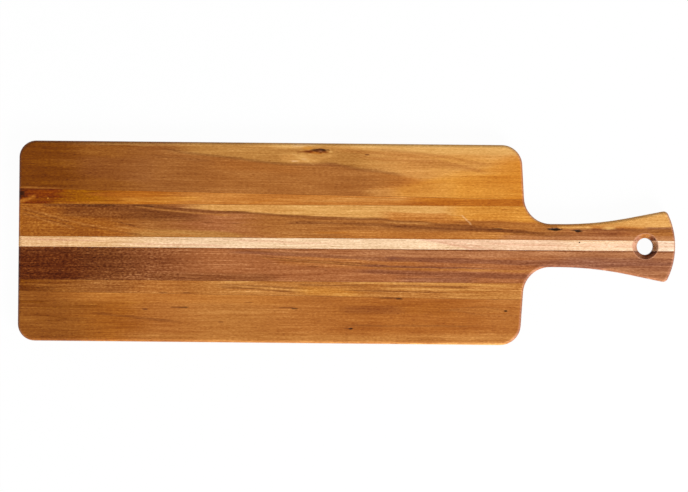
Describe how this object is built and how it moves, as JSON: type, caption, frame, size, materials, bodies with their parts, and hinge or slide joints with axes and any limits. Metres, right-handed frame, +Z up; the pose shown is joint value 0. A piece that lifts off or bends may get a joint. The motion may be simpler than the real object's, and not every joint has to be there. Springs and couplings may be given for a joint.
{
  "type": "bread board",
  "caption": "Long paddle-shaped bread board glued up from strips of mixed-tone wood, with rounded edges, a flared handle and a countersunk hanging hole.",
  "frame": {"origin": "middle of the board's length and width, on the underside", "axes": "+X along the board towards the handle, +Y across the board towards its far edge, +Z up out of the serving face"},
  "size_m": [0.584, 0.178, 0.019],
  "materials": {
    "near_edge_wood": "oiled satin, tan brown with darker streaks",
    "near_taper_wood": "oiled satin, golden brown with dark dashes",
    "near_core_wood": "oiled satin, reddish brown heartwood",
    "pale_wood": "oiled satin, cream sapwood",
    "far_core_wood": "oiled satin, golden above and brown below",
    "far_taper_wood": "oiled satin, orange brown",
    "far_edge_wood": "oiled satin, dark brown to golden along its length",
    "dried_glue": "dull dried wood glue, amber brown"
  },
  "bodies": {
    "root": {"near_edge_strip": "near_edge_wood", "near_taper_strip": "near_taper_wood", "near_core_strip": "near_core_wood", "pale_strip": "pale_wood", "pale_strip_tip": "pale_wood", "far_core_strip": "far_core_wood", "far_taper_strip": "far_taper_wood", "far_edge_strip": "far_edge_wood", "glue_line_near_edge": "dried_glue", "glue_line_near_taper": "dried_glue", "glue_line_pale_near": "dried_glue", "glue_line_pale_near_tip": "dried_glue", "glue_line_pale_far": "dried_glue", "glue_line_pale_far_tip": "dried_glue", "glue_line_far_taper": "dried_glue", "glue_line_far_edge": "dried_glue"}
  },
  "joints": []
}
